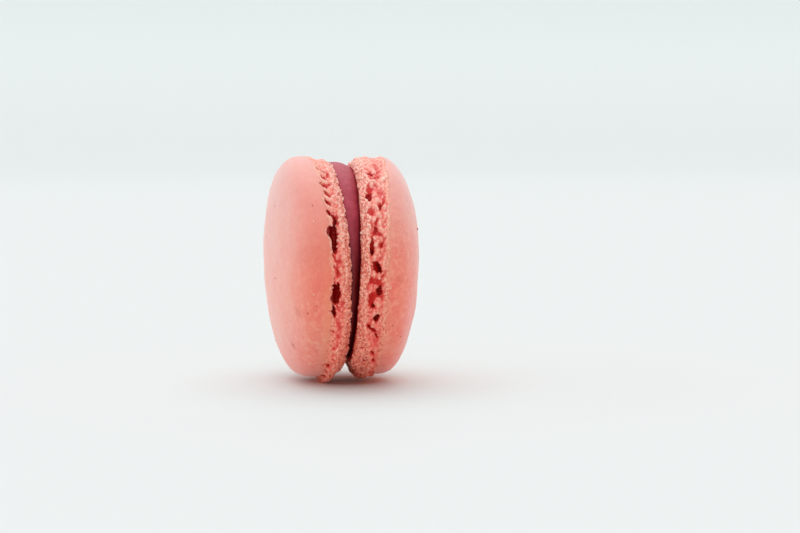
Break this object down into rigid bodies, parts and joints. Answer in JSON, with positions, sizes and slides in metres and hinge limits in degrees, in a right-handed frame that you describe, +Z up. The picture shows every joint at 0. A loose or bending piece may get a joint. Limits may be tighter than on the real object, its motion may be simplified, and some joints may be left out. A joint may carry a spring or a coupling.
{
  "type": "french macaron",
  "caption": "Pink french macaron standing on its edge: smooth domed almond shells with ruffled, cave-riddled feet, held apart by a wedge-shaped disc of dark berry filling.",
  "frame": {"origin": "on the floor under the middle of the macaron's box, which stands on its edge", "axes": "+X along the macaron's own axis from the left shell to the right one, +Z up, -Y towards the front"},
  "size_m": [0.0296, 0.0456, 0.0453],
  "materials": {
    "crust": "smooth matte baked skin, finely pored, pale salmon pink with warmer rims",
    "foot": "rough open crumb, light peach on the swellings and deep red in the caves",
    "filling": "satin berry cream, plum at the top and dark wine lower down"
  },
  "bodies": {
    "root": {"left_shell": "crust", "right_shell": "crust", "filling": "filling"}
  },
  "joints": []
}
